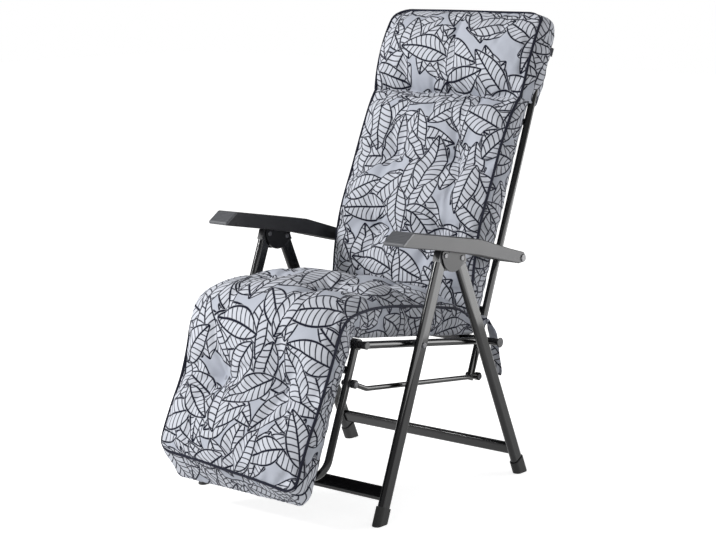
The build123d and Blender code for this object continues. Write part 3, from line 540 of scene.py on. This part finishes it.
def leaf_group():
    """One drawn leaf in each square of cloth: where it covers the cloth, and where its lines are."""
    group = bpy.data.node_groups.new("drawn_leaf", "ShaderNodeTree")
    socket_in(group, "Cloth", "NodeSocketVector")
    socket_in(group, "Pitch", "NodeSocketFloat", 0.13)
    socket_in(group, "Shift", "NodeSocketVector")
    socket_in(group, "Turn", "NodeSocketFloat", 0.0)
    socket_in(group, "Seed", "NodeSocketFloat", 0.0)
    socket_in(group, "Length", "NodeSocketFloat", 0.074)
    socket_in(group, "Line", "NodeSocketFloat", 0.0031)
    socket_out(group, "Cover", "NodeSocketFloat")
    socket_out(group, "Ink", "NodeSocketFloat")
    b = Board(group)
    given = b.add("NodeGroupInput").outputs
    turned = b.add("ShaderNodeVectorRotate", rotation_type="Z_AXIS",
                   inputs={"Vector": given["Cloth"], "Angle": given["Turn"]}).outputs[0]
    moved = b.add("ShaderNodeVectorMath", operation="ADD", inputs={0: turned, 1: given["Shift"]}).outputs[0]
    pitch = b.add("ShaderNodeCombineXYZ", inputs={0: given["Pitch"], 1: given["Pitch"], 2: 1.0}).outputs[0]
    square = b.add("ShaderNodeVectorMath", operation="DIVIDE", inputs={0: moved, 1: pitch}).outputs[0]
    corner = b.add("ShaderNodeVectorMath", operation="FLOOR", inputs={0: square}).outputs[0]
    inner = b.add("ShaderNodeVectorMath", operation="SUBTRACT", inputs={0: square, 1: corner}).outputs[0]
    centred = b.add("ShaderNodeVectorMath", operation="SUBTRACT",
                    inputs={0: inner, 1: (0.5, 0.5, 0.0)}).outputs[0]
    sized = b.add("ShaderNodeVectorMath", operation="MULTIPLY", inputs={0: centred, 1: pitch}).outputs[0]
    dice = b.add("ShaderNodeTexWhiteNoise", noise_dimensions="4D",
                 inputs={"Vector": corner, "W": given["Seed"]}).outputs
    angle = b.math("MULTIPLY", dice["Value"], 2 * math.pi)
    placed = b.add("ShaderNodeVectorRotate", rotation_type="Z_AXIS",
                   inputs={"Vector": sized, "Angle": angle}).outputs[0]
    parts = b.add("ShaderNodeSeparateXYZ", inputs={0: placed}).outputs
    chance = b.add("ShaderNodeSeparateXYZ", inputs={0: dice["Color"]}).outputs
    length = b.math("MULTIPLY", given["Length"], b.math("MULTIPLY_ADD", chance[0], 0.22, 0.80))
    t = b.math("DIVIDE", parts[0], length)
    bulge = b.math("MAXIMUM", b.math("SUBTRACT", 1.0, b.math("MULTIPLY", t, t)), 0.0)
    bend = b.math("MULTIPLY", b.math("SUBTRACT", chance[1], 0.5), b.math("MULTIPLY", length, 0.36))
    y = b.math("SUBTRACT", parts[1], b.math("MULTIPLY", bend, bulge))
    half = b.math("MULTIPLY", length, b.math("MULTIPLY_ADD", chance[2], 0.12, 0.38))
    taper = b.math("MULTIPLY", b.math("POWER", bulge, 0.92), b.math("MULTIPLY_ADD", t, -0.28, 1.0))
    width = b.math("MULTIPLY", half, taper)
    off = b.math("ABSOLUTE", y)
    edge = b.math("SUBTRACT", width, off)
    soft = b.math("MULTIPLY", given["Line"], 0.5)
    inside = b.math("GREATER_THAN", bulge, 0.0001)
    reached = b.math("DIVIDE", b.math("ADD", edge, given["Line"]), soft, clamp=True)
    cover = b.math("MULTIPLY", inside, reached)
    edge_far = b.math("DIVIDE", b.math("SUBTRACT", b.math("ABSOLUTE", edge), soft), soft, clamp=True)
    outline = b.math("SUBTRACT", 1.0, edge_far, clamp=True)
    rib_far = b.math("DIVIDE", b.math("SUBTRACT", off, soft), soft, clamp=True)
    rib = b.math("SUBTRACT", 1.0, rib_far, clamp=True)
    lean = b.math("SUBTRACT", parts[0], b.math("MULTIPLY", off, 0.75))
    curved = b.math("ADD", lean, b.math("MULTIPLY", b.math("MULTIPLY", off, off), 9.0))
    side = b.math("MULTIPLY", b.math("GREATER_THAN", y, 0.0), 0.5)
    steps = b.math("ADD", b.math("DIVIDE", curved, vein_pitch), side)
    from_vein = b.math("ABSOLUTE", b.math("SUBTRACT", b.math("FRACT", steps), 0.5))
    near = b.math("MULTIPLY", from_vein, vein_pitch)
    vein_far = b.math("DIVIDE", b.math("SUBTRACT", near, b.math("MULTIPLY", soft, 0.5)), soft, clamp=True)
    vein = b.math("SUBTRACT", 1.0, vein_far, clamp=True)
    lines = b.math("MAXIMUM", outline, b.math("MAXIMUM", rib, vein))
    ink = b.math("MULTIPLY", lines, cover)
    b.add("NodeGroupOutput", inputs={"Cover": cover, "Ink": ink})
    return group


def weave_group():
    """Plain woven threads: a height and a light-and-dark of single threads."""
    group = bpy.data.node_groups.new("plain_weave", "ShaderNodeTree")
    socket_in(group, "Cloth", "NodeSocketVector")
    socket_in(group, "Threads", "NodeSocketFloat", 900.0)
    socket_out(group, "Height", "NodeSocketFloat")
    socket_out(group, "Fleck", "NodeSocketFloat")
    b = Board(group)
    given = b.add("NodeGroupInput").outputs
    parts = b.add("ShaderNodeSeparateXYZ", inputs={0: given["Cloth"]}).outputs
    turns = b.math("MULTIPLY", given["Threads"], 2 * math.pi)
    u = b.math("SINE", b.math("MULTIPLY", parts[0], turns))
    v = b.math("SINE", b.math("MULTIPLY", parts[1], turns))
    height = b.math("MULTIPLY_ADD", b.math("MULTIPLY", u, v), 0.5, 0.5)
    coarse = b.noise(given["Cloth"], 420.0, 3.0)
    fine = b.noise(given["Cloth"], 1500.0, 2.0)
    fleck = b.math("MULTIPLY", b.math("ADD", coarse, fine), 0.5)
    b.add("NodeGroupOutput", inputs={"Height": height, "Fleck": fleck})
    return group


def grain_group():
    """Fine grain and faint wear of moulded and painted parts."""
    group = bpy.data.node_groups.new("fine_grain", "ShaderNodeTree")
    socket_in(group, "Scale", "NodeSocketFloat", 900.0)
    socket_out(group, "Height", "NodeSocketFloat")
    socket_out(group, "Patch", "NodeSocketFloat")
    b = Board(group)
    given = b.add("NodeGroupInput").outputs
    place = b.add("ShaderNodeTexCoord").outputs["Object"]
    height = b.noise(place, given["Scale"], 2.0)
    patch = b.noise(place, 14.0, 4.0)
    b.add("NodeGroupOutput", inputs={"Height": height, "Patch": patch})
    return group


drawn_leaf = leaf_group()
plain_weave = weave_group()
fine_grain = grain_group()


def fresh_material(name):
    material = bpy.data.materials.new(name)
    material.use_nodes = True
    tree = material.node_tree
    tree.nodes.clear()
    board = Board(tree)
    shader = board.add("ShaderNodeBsdfPrincipled")
    board.add("ShaderNodeOutputMaterial", inputs={"Surface": shader.outputs[0]})
    return material, board, shader


def leaf_cloth(name, upright):
    """Blue-grey cloth with line-drawn leaves that lie over each other.
    upright: printed straight through in x and z, as on the ribbon, and not along the piece's own cloth."""
    material, b, shader = fresh_material(name)
    if upright:
        spot = b.add("ShaderNodeTexCoord").outputs["Object"]
        seen = b.add("ShaderNodeSeparateXYZ", inputs={0: spot}).outputs
        place = b.add("ShaderNodeCombineXYZ", inputs={0: seen[0], 1: seen[2]}).outputs[0]
    else:
        place = b.add("ShaderNodeUVMap", uv_map="cloth").outputs[0]
    ink = None
    cover = None
    for pitch, shift, turn, seed in leaf_layers:
        leaf = b.add("ShaderNodeGroup", node_tree=drawn_leaf,
                     inputs={"Cloth": place, "Pitch": pitch, "Shift": shift, "Turn": turn, "Seed": seed})
        here, line = leaf.outputs["Cover"], leaf.outputs["Ink"]
        if ink is None:
            ink, cover = line, here
        else:
            below = b.math("MULTIPLY", ink, b.math("SUBTRACT", 1.0, here, clamp=True))
            ink = b.math("MAXIMUM", below, line)
            cover = b.math("MAXIMUM", cover, here)
    weave = b.add("ShaderNodeGroup", node_tree=plain_weave, inputs={"Cloth": place, "Threads": 800.0})
    ground = b.mix(cover, leaf_ground, leaf_light)
    flecked = b.mix(b.math("MULTIPLY", weave.outputs["Fleck"], 0.25), ground, leaf_fleck)
    colour = b.mix(ink, flecked, leaf_ink)
    b.feed(shader, "Base Color", colour)
    b.feed(shader, "Roughness", b.math("MULTIPLY_ADD", weave.outputs["Fleck"], 0.12, 0.78))
    b.feed(shader, "Specular IOR Level", 0.15)
    b.feed(shader, "Sheen Weight", 0.06)
    b.feed(shader, "Sheen Roughness", 0.4)
    crumple = b.relief(b.noise(place, 28.0, 3.0), 0.0045, 0.7)
    threads = b.add("ShaderNodeBump", inputs={"Height": weave.outputs["Height"], "Distance": 0.0002,
                                              "Strength": 0.5, "Normal": crumple}).outputs[0]
    b.feed(shader, "Normal", threads)
    return material


def piping_cloth():
    """Dark navy piping, with the slanted threads of tape cut on the bias."""
    material, b, shader = fresh_material("piping_cloth")
    place = b.add("ShaderNodeTexCoord").outputs["Object"]
    threads = b.add("ShaderNodeTexWave", bands_direction="DIAGONAL",
                    inputs={"Vector": place, "Scale": 320.0, "Distortion": 1.0}).outputs[1]
    b.feed(shader, "Base Color", b.mix(threads, *piping_tones))
    b.feed(shader, "Roughness", b.math("MULTIPLY_ADD", threads, 0.1, 0.7))
    b.feed(shader, "Specular IOR Level", 0.15)
    b.feed(shader, "Sheen Weight", 0.08)
    b.feed(shader, "Normal", b.relief(threads, 0.0002, 0.6))
    return material


def knot_thread():
    """Pale thread of the tufts."""
    material, b, shader = fresh_material("tuft_thread")
    place = b.add("ShaderNodeTexCoord").outputs["Object"]
    turns = b.add("ShaderNodeTexWave",
                  inputs={"Vector": place, "Scale": 500.0, "Distortion": 0.5}).outputs[1]
    b.feed(shader, "Base Color", b.mix(turns, *thread_tones))
    b.feed(shader, "Roughness", b.math("MULTIPLY_ADD", turns, 0.1, 0.6))
    b.feed(shader, "Normal", b.relief(turns, 0.0003, 0.8))
    return material


def moulded(name, dark, light, rough, grain, depth=0.00005, gleam=0.5):
    """A painted or moulded finish: faint patches of tone and a fine grain, depth deep."""
    material, b, shader = fresh_material(name)
    skin = b.add("ShaderNodeGroup", node_tree=fine_grain, inputs={"Scale": grain})
    patch = skin.outputs["Patch"]
    b.feed(shader, "Base Color", b.mix(patch, dark + (1,), light + (1,)))
    b.feed(shader, "Roughness", b.math("MULTIPLY_ADD", patch, 0.12, rough - 0.06))
    b.feed(shader, "Specular IOR Level", gleam)
    b.feed(shader, "Normal", b.relief(skin.outputs["Height"], depth, 0.5))
    return material


def mesh_textile():
    """Black woven mesh of the panels under the cushion."""
    material, b, shader = fresh_material("mesh_textile")
    place = b.add("ShaderNodeTexCoord").outputs["Object"]
    weave = b.add("ShaderNodeGroup", node_tree=plain_weave, inputs={"Cloth": place, "Threads": 260.0})
    b.feed(shader, "Base Color", b.mix(weave.outputs["Height"], *textile_tones))
    b.feed(shader, "Roughness", b.math("MULTIPLY_ADD", weave.outputs["Fleck"], 0.1, 0.55))
    b.feed(shader, "Normal", b.relief(weave.outputs["Height"], 0.0004, 0.7))
    return material


cloth = leaf_cloth("leaf_cloth", upright=False)
tie_cloth = leaf_cloth("leaf_cloth_tie", upright=True)
piping = piping_cloth()
tuft_thread = knot_thread()
tag_cloth = moulded("tag_cloth", (0.030, 0.030, 0.040), (0.050, 0.050, 0.064),
                    rough=0.75, grain=2400.0, depth=0.0002, gleam=0.3)
paint = moulded("gloss_black_paint", (0.004, 0.004, 0.005), (0.007, 0.007, 0.008),
                rough=0.15, grain=260.0, depth=0.00002, gleam=0.50)
bracket_paint = moulded("satin_black_paint", (0.006, 0.006, 0.007), (0.011, 0.011, 0.012),
                        rough=0.34, grain=300.0, depth=0.00002, gleam=0.22)
bolts = moulded("dark_zinc", (0.10, 0.10, 0.11), (0.17, 0.17, 0.18), rough=0.35, grain=700.0)
joint_plastic = moulded("joint_plastic", (0.018, 0.018, 0.020), (0.030, 0.030, 0.033),
                        rough=0.42, grain=1200.0)
arm_plastic = moulded("arm_plastic", (0.022, 0.022, 0.024), (0.032, 0.032, 0.035),
                      rough=0.38, grain=1500.0, depth=0.00003, gleam=0.30)
grip_plastic = moulded("grip_plastic", (0.085, 0.088, 0.096), (0.115, 0.119, 0.130),
                       rough=0.48, grain=1300.0)
rubber = moulded("foot_rubber", (0.012, 0.012, 0.012), (0.024, 0.024, 0.024), rough=0.62, grain=900.0)
textile = mesh_textile()

finishes = {
    "frame_paint": paint, "fasteners": bolts, "joint_plastic": joint_plastic, "arm_plastic": arm_plastic,
    "grip_plastic": grip_plastic, "foot_rubber": rubber, "sling_textile": textile, "cushion_fabric": cloth,
    "tag_fabric": tag_cloth,
}
for part in frame["record"]["subparts"]:
    node_object = frame["nodes"][part["node"]]
    node_object.data.materials.clear()
    node_object.data.materials.append(finishes[part["material_slot"]])
for side_name in ("left", "right"):
    frame["nodes"]["bracket_" + side_name].data.materials[0] = bracket_paint

# The cushion's pads
tuft_side = 0.095


def tuft_pairs(places):
    return [(side * tuft_side, place) for side in (1, -1) for place in places]


round_the_end = [[("left", False), ("end", True), ("right", True)]]
both_sides = [[("left", False)], [("right", False)]]
long_pad = make_pad("cushion_long_pad", seat_and_leg, tuft_pairs((0.205, 0.375, 0.665)),
                    valleys=[(0.205, 0.008, 0.030), (0.375, 0.006, 0.030), (0.665, 0.008, 0.030)],
                    piping=round_the_end, round_end=0.022, askew=0.014)
back_pad = make_pad("cushion_back_pad", back, tuft_pairs((0.185, 0.390, 0.588)),
                    valleys=[(0.185, 0.008, 0.030), (0.390, 0.008, 0.030), (0.600, 0.026, 0.026)],
                    piping=both_sides)
head_pad = make_pad("cushion_head_hood", head, [], valleys=[(0.0, 0.028, 0.024)],
                    piping=round_the_end, round_end=0.030, deep_cells=11)
for pad in (long_pad, back_pad, head_pad):
    for finish in (cloth, piping, tuft_thread):
        pad.data.materials.append(finish)


def in_space(point):
    return Vector((0.0, point.x, point.y))


# The long pad is cut at the knee, where it bends between seat and footrest. Folded, the pads crumple flat.
knee_start = 0.070
knee_plane = in_space(on_seat(knee_start, 0.0))
seat_way = in_space(along_seat)
corner_turn = Vector((0.0, corner_way.y, -corner_way.x))
seat_pad = cut_from(long_pad, "cushion_seat_pad", [(knee_plane, seat_way)])
knee_roll = cut_from(long_pad, "cushion_knee_roll",
                     [(knee_plane, -seat_way), (in_space(seat_front_joint), corner_turn)])
foot_pad = cut_from(long_pad, "cushion_foot_pad", [(in_space(seat_front_joint), -corner_turn)])
bpy.data.objects.remove(long_pad)

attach(seat_pad, "seat")
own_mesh(seat_pad)
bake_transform(knee_roll)
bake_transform(foot_pad)
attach(back_pad, "back")
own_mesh(back_pad)
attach(head_pad, "back")
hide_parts("cushion_seat")
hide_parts("cushion_foot")
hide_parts("cushion_back")
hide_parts("cushion_head")


# Textile panels, the ribbon and the tag
def lay_cloth(name, rows, sides, across, thick):
    """A strip of cloth along rows of middle points, as wide at each as its side vector says to both sides."""
    bm = bmesh.new()
    bmesh.ops.create_grid(bm, x_segments=across, y_segments=len(rows) - 1, size=0.5)
    uv = bm.loops.layers.uv.new("cloth")
    reach = [0.0]
    for a, b in zip(rows, rows[1:]):
        reach.append(reach[-1] + (b - a).length)
    for face in bm.faces:
        for loop in face.loops:
            row = round((loop.vert.co.y + 0.5) * (len(rows) - 1))
            loop[uv].uv = (2 * loop.vert.co.x * sides[row].length, reach[row])
        face.smooth = True
    for v in bm.verts:
        row = round((v.co.y + 0.5) * (len(rows) - 1))
        v.co = rows[row] + sides[row] * (2 * v.co.x)
    bmesh.ops.solidify(bm, geom=bm.faces[:], thickness=thick)
    mesh = bpy.data.meshes.new(name)
    bm.to_mesh(mesh)
    bm.free()
    obj = bpy.data.objects.new(name, mesh)
    scene.collection.objects.link(obj)
    return obj


hem_radius = 0.0099      # of the cloth round a cross tube
hem_tail = 0.022         # from the tube's middle to the end of the hem
cloth_thick = 0.0011
panel_half = 0.1775
foot_panel_half = 0.1685


def hem_rows(middle, along, face):
    """The way of the cloth round a cross tube, from its face side round the tube and back under the panel."""
    rows = []
    for i in range(13):
        turn = math.radians(225 * i / 12)
        rows.append(middle + face * hem_radius * math.cos(turn) - along * hem_radius * math.sin(turn))
    under_panel = middle + along * hem_tail + face * (hem_radius - 0.0013)
    for i in (1, 2, 3):
        rows.append(rows[12].lerp(under_panel, i / 3))
    return rows


def stretch_panel(name, near, far, face, half, sag):
    """A panel stretched between two cross tubes and sewn round each; sag is how far its middle hangs."""
    along = (far - near).normalized()
    first = hem_rows(near, along, face)[::-1]
    last = hem_rows(far, -along, face)
    start, end = first[-1], last[0]
    flat_run = [start.lerp(end, i / 26) - face * sag * math.sin(math.pi * i / 26) for i in range(1, 26)]
    rows = first + flat_run + last
    side = Vector((half, 0.0, 0.0))
    panel = lay_cloth(name, rows, [side] * len(rows), 16, cloth_thick)
    bm = bmesh.new()
    bm.from_mesh(panel.data)
    for tube, way in ((near, along), (far, -along)):
        for step in (0.0165, 0.0195):
            before = len(bm.faces)
            row = tube + way * step + face * (hem_radius - 0.0024)
            stitches = tube_mesh([row - side, row + side], 0.0005)
            bm.from_mesh(stitches)
            bm.faces.ensure_lookup_table()
            for seam in bm.faces[before:]:
                seam.material_index = 1
            bpy.data.meshes.remove(stitches)
    bm.to_mesh(panel.data)
    bm.free()
    panel.data.materials.append(textile)
    panel.data.materials.append(piping)
    return panel


seat_panel = stretch_panel("seat_textile", in_space(seat_front_joint), in_space(seat_rear_joint),
                           in_space(off_seat), panel_half, 0.003)
back_panel = stretch_panel("back_textile", in_space(on_back(0.0740, 0.0)), in_space(on_back(0.5601, 0.0)),
                           in_space(off_back), panel_half, 0.003)
foot_panel = stretch_panel("footrest_textile", in_space(on_leg(0.0620, 0.0)), in_space(on_leg(0.3180, 0.0)),
                           in_space(off_back), foot_panel_half, 0.002)
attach(seat_panel, "seat")
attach(back_panel, "back")
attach(foot_panel, "footrest")
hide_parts("seat_sling")
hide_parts("back_sling")
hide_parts("footrest_sling")


ribbon_half = 0.0118
ribbon_thick = 0.0011
ribbon_radius = 0.0103   # of the turn round the side tube
pinch = 0.45             # the ribbon's width in the knot, as a share
tail_length = 0.146
second_tail_length = 0.104
tail_lean = math.radians(15.0)


def tail_width(step, down, full_by, gained, last_full):
    """Half the width of a tail: from the knot's pinch to its own, and round at the end."""
    wide = ribbon_half * (pinch + gained * min(1.0, down / full_by))
    if step > last_full:
        wide *= math.sqrt(1 - ((step - last_full) / 3.4) ** 2)
    return wide


def tie_ribbon():
    """The ribbon once round the frame's side tube, pinched in its knot, with two tails beside the tube."""
    side_tube = Vector((0.2260, 0.0, 0.0))
    bar = in_space(on_back(0.0480, 0.0)) + side_tube
    along = in_space(up_back)
    face = in_space(off_back)
    side = Vector((1.0, 0.0, 0.0))
    lean = Vector((0.0, math.sin(tail_lean), -math.cos(tail_lean)))
    thick_way = Vector((0.0, lean.z, -lean.y))
    knot = bar + side * 0.0135 - face * 0.0040
    rows = []
    sides = []
    for i in range(17):
        turn = math.radians(20 - 360 * i / 17)
        rows.append(bar + side * ribbon_radius * math.cos(turn) - face * ribbon_radius * math.sin(turn))
        sides.append(along * ribbon_half * (0.55 + 0.45 * min(1.0, min(i, 16 - i) / 3)))
    rows.append(knot)
    sides.append((along + side).normalized() * ribbon_half * pinch)
    for i in range(1, 23):
        down = i / 22
        drift = side * (0.0095 * min(1.0, down / 0.25) + 0.0012 * math.sin(5 * down))
        rows.append(knot + lean * (tail_length * down) + drift + thick_way * 0.0012 * math.sin(6 * down))
        turn = 0.25 * math.sin(2.8 * down + 0.3)
        sides.append((side * math.cos(turn) + thick_way * math.sin(turn)) * tail_width(i, down, 0.16, 0.55, 19))
    ribbon = lay_cloth("cushion_ribbon", rows, sides, 6, ribbon_thick)
    rows = [knot - face * 0.0016]
    sides = [side * ribbon_half * pinch]
    for i in range(1, 17):
        down = i / 16
        drift = side * 0.0070 * min(1.0, down / 0.3)
        rows.append(knot - face * (0.0018 + 0.0012 * math.sin(5 * down)) + lean * (second_tail_length * down)
                    + drift)
        turn = -0.22 * math.sin(2.6 * down)
        sides.append((side * math.cos(turn) + thick_way * math.sin(turn)) * tail_width(i, down, 0.20, 0.50, 13))
    second = lay_cloth("ribbon_tail", rows, sides, 6, ribbon_thick)
    bm = bmesh.new()
    bm.from_mesh(ribbon.data)
    bm.from_mesh(second.data)
    bmesh.ops.create_uvsphere(bm, u_segments=16, v_segments=10, radius=0.0052,
                              matrix=Matrix.Translation(knot) @ Matrix.Diagonal((0.70, 1.0, 1.2, 1.0)))
    for face_cell in bm.faces:
        face_cell.smooth = True
    bm.to_mesh(ribbon.data)
    bm.free()
    bpy.data.objects.remove(second)
    ribbon.data.materials.append(tie_cloth)
    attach(ribbon, "back")
    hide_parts("cushion_tie")


def blank_tag():
    """The plain tag: a strip folded in two, its ends sewn into the hood's rear edge."""
    low, high = (Vector(c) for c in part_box("cushion_tag"))
    middle = (low + high) / 2
    out = in_space(-off_back)
    up = in_space(up_back)
    deep = 0.0150
    half = 0.0108
    rows = []
    sides = []
    for side in (1, -1):
        for i in range(9):
            reach = i / 8 if side > 0 else 1 - i / 8
            bow = 0.0016 * reach**2
            gap = 0.0007 * (1 - 0.3 * reach) * side
            rows.append(middle + out * (deep * (reach - 0.5)) + Vector((bow + gap, 0.0, 0.0)))
            sides.append(up * half + out * (0.0006 * reach))
    tag = lay_cloth("cushion_blank_tag", rows, sides, 6, thick=0.0004)
    tag.data.materials.append(tag_cloth)
    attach(tag, "back")
    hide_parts("cushion_tag")


tie_ribbon()
blank_tag()


# Floor, light and camera. The floor and the world are white to the camera, and the black paint mirrors a
# pale floor.
world_light = 0.38
floor_seen = 0.76
floor_mirrored = 0.52


def add_floor():
    bm = bmesh.new()
    bmesh.ops.create_grid(bm, x_segments=1, y_segments=1, size=14.0)
    mesh = bpy.data.meshes.new("floor")
    bm.to_mesh(mesh)
    bm.free()
    floor = bpy.data.objects.new("floor", mesh)
    scene.collection.objects.link(floor)
    material, b, shader = fresh_material("floor_white")
    b.feed(shader, "Base Color", (0.90, 0.90, 0.90, 1))
    b.feed(shader, "Roughness", 0.9)
    b.feed(shader, "Specular IOR Level", 0.0)
    b.feed(shader, "Emission Color", white)
    path = b.add("ShaderNodeLightPath").outputs
    seen = b.math("MULTIPLY", path["Is Camera Ray"], floor_seen)
    mirrored = b.math("MULTIPLY", path["Is Glossy Ray"], floor_mirrored)
    b.feed(shader, "Emission Strength", b.math("MAXIMUM", seen, mirrored))
    floor.data.materials.append(material)


def area_lamp(name, spot, across, tall, power):
    data = bpy.data.lights.new(name, "AREA")
    data.shape = "RECTANGLE"
    data.size = across
    data.size_y = tall
    data.energy = power
    lamp = bpy.data.objects.new(name, data)
    scene.collection.objects.link(lamp)
    lamp.location = spot
    return lamp


def aimed(spot, aim):
    return (Vector(aim) - Vector(spot)).to_track_quat("-Z", "Y").to_euler()


def add_lamp(name, spot, aim, size, power):
    area_lamp(name, spot, size, size, power).rotation_euler = aimed(spot, aim)


def add_card(name, middle, across, tall, power):
    """A white card that stands beside the chair, and that only glossy faces show, as for black frames."""
    card = area_lamp(name, middle, across, tall, power)
    card.rotation_euler = (math.radians(90), 0.0, math.radians(90))
    card.visible_diffuse = False
    card.visible_camera = False


def add_world():
    world = bpy.data.worlds.new("studio")
    scene.world = world
    world.use_nodes = True
    tree = world.node_tree
    tree.nodes.clear()
    b = Board(tree)
    light = b.add("ShaderNodeBackground", inputs={"Color": white, "Strength": world_light})
    seen = b.add("ShaderNodeBackground", inputs={"Color": white, "Strength": 1.0})
    path = b.add("ShaderNodeLightPath").outputs
    which = b.add("ShaderNodeMixShader",
                  inputs={0: path["Is Camera Ray"], 1: light.outputs[0], 2: seen.outputs[0]})
    b.add("ShaderNodeOutputWorld", inputs={"Surface": which.outputs[0]})


def add_camera():
    """The photograph's angle and framing."""
    data = bpy.data.cameras.new("camera")
    data.lens = 94.08
    data.sensor_width = 36.0
    data.clip_end = 60.0
    camera = bpy.data.objects.new("camera", data)
    scene.collection.objects.link(camera)
    camera.location = (2.8416, -3.5208, 1.3094)
    camera.rotation_euler = aimed((2.8416, -3.5208, 1.3094), (0.0064, -0.0157, 0.5333))
    scene.camera = camera


add_floor()
add_lamp("key", (-2.6, -3.6, 3.2), (0.0, 0.0, 0.5), 1.3, 215.0)
add_lamp("side_panel", (2.8, 3.2, 0.9), (0.2, 0.1, 0.5), 1.8, 34.0)
add_card("side_card", (0.50, 0.35, 0.55), 1.7, 0.42, 6.8)
add_world()
add_camera()
scene.view_settings.view_transform = "Standard"
